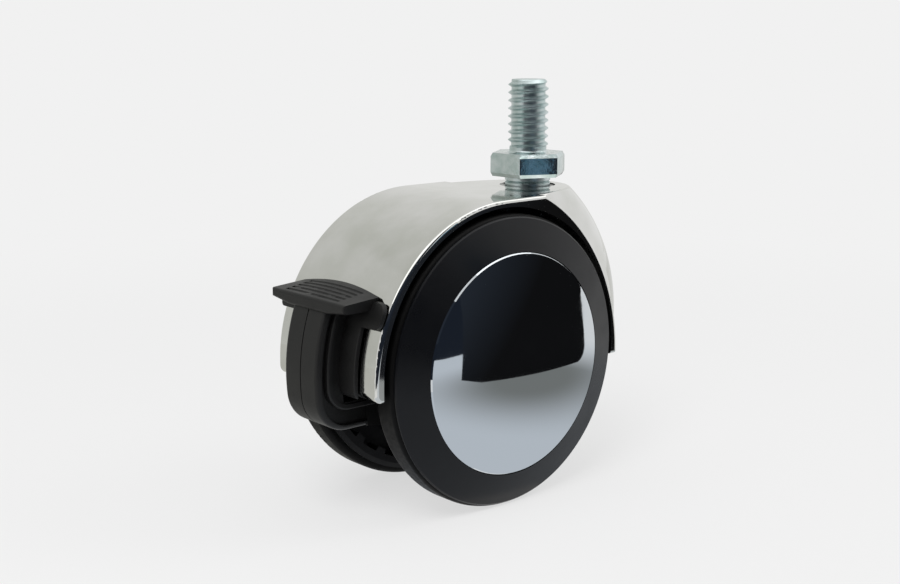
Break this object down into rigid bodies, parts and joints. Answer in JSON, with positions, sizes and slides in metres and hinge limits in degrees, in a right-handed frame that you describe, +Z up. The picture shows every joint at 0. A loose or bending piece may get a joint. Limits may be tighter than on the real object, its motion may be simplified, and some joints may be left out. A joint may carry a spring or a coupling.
{
  "type": "stem castor",
  "caption": "Hooded twin-wheel furniture castor with a threaded swivel stem, polished cover, domed wheel caps and a foot brake lever behind.",
  "frame": {"origin": "on the swivel axis, on the hexagon's upper face that bears against the furniture leg", "axes": "+Z up along the threaded stem, +X away from the wheels' trailing side, +Y to the left along the axle"},
  "size_m": [0.0948, 0.0496, 0.0994],
  "materials": {
    "zinc_plated_steel": "bright zinc plate, cool silver",
    "spring_steel": "dark oiled spring steel",
    "bright_steel": "bright turned steel",
    "chrome_plated_casting": "polished chrome plate on a die casting",
    "chrome_plated_cap": "mirror chrome plate",
    "black_lever_nylon": "moulded black nylon, satin",
    "black_wheel_nylon": "moulded black nylon, semi-gloss",
    "black_tread": "smooth black tread, satin"
  },
  "bodies": {
    "stem_assembly": {"stem": "zinc_plated_steel", "snap_ring": "spring_steel"},
    "hood_assembly": {"hood": "chrome_plated_casting", "socket_bush": "bright_steel", "thrust_disc": "bright_steel", "axle": "bright_steel", "brake_pivot_pin": "bright_steel", "wheel_washer_right": "bright_steel", "wheel_washer_left": "bright_steel", "axle_retainer_right": "spring_steel", "axle_retainer_left": "spring_steel"},
    "right_wheel": {"wheel_core_right": "black_wheel_nylon", "tyre_right": "black_tread", "hub_cap_right": "chrome_plated_cap"},
    "left_wheel": {"wheel_core_left": "black_wheel_nylon", "tyre_left": "black_tread", "hub_cap_left": "chrome_plated_cap"},
    "brake": {"brake_lever": "black_lever_nylon", "lock_bar": "bright_steel"}
  },
  "joints": [
    {"name": "swivel", "type": "hinge", "parent": "stem_assembly", "child": "hood_assembly", "pos_m": [0, 0, 0], "axis": [0, 0, 1], "continuous": true},
    {"name": "right_wheel_spin", "type": "hinge", "parent": "hood_assembly", "child": "right_wheel", "pos_m": [-0.0247, 0, -0.0464], "axis": [0, 1, 0], "continuous": true},
    {"name": "left_wheel_spin", "type": "hinge", "parent": "hood_assembly", "child": "left_wheel", "pos_m": [-0.0247, 0, -0.0464], "axis": [0, 1, 0], "continuous": true},
    {"name": "brake_pedal", "type": "hinge", "parent": "hood_assembly", "child": "brake", "pos_m": [-0.0472, 0, -0.0554], "axis": [0, -1, 0], "range_deg": [0, 14]}
  ]
}
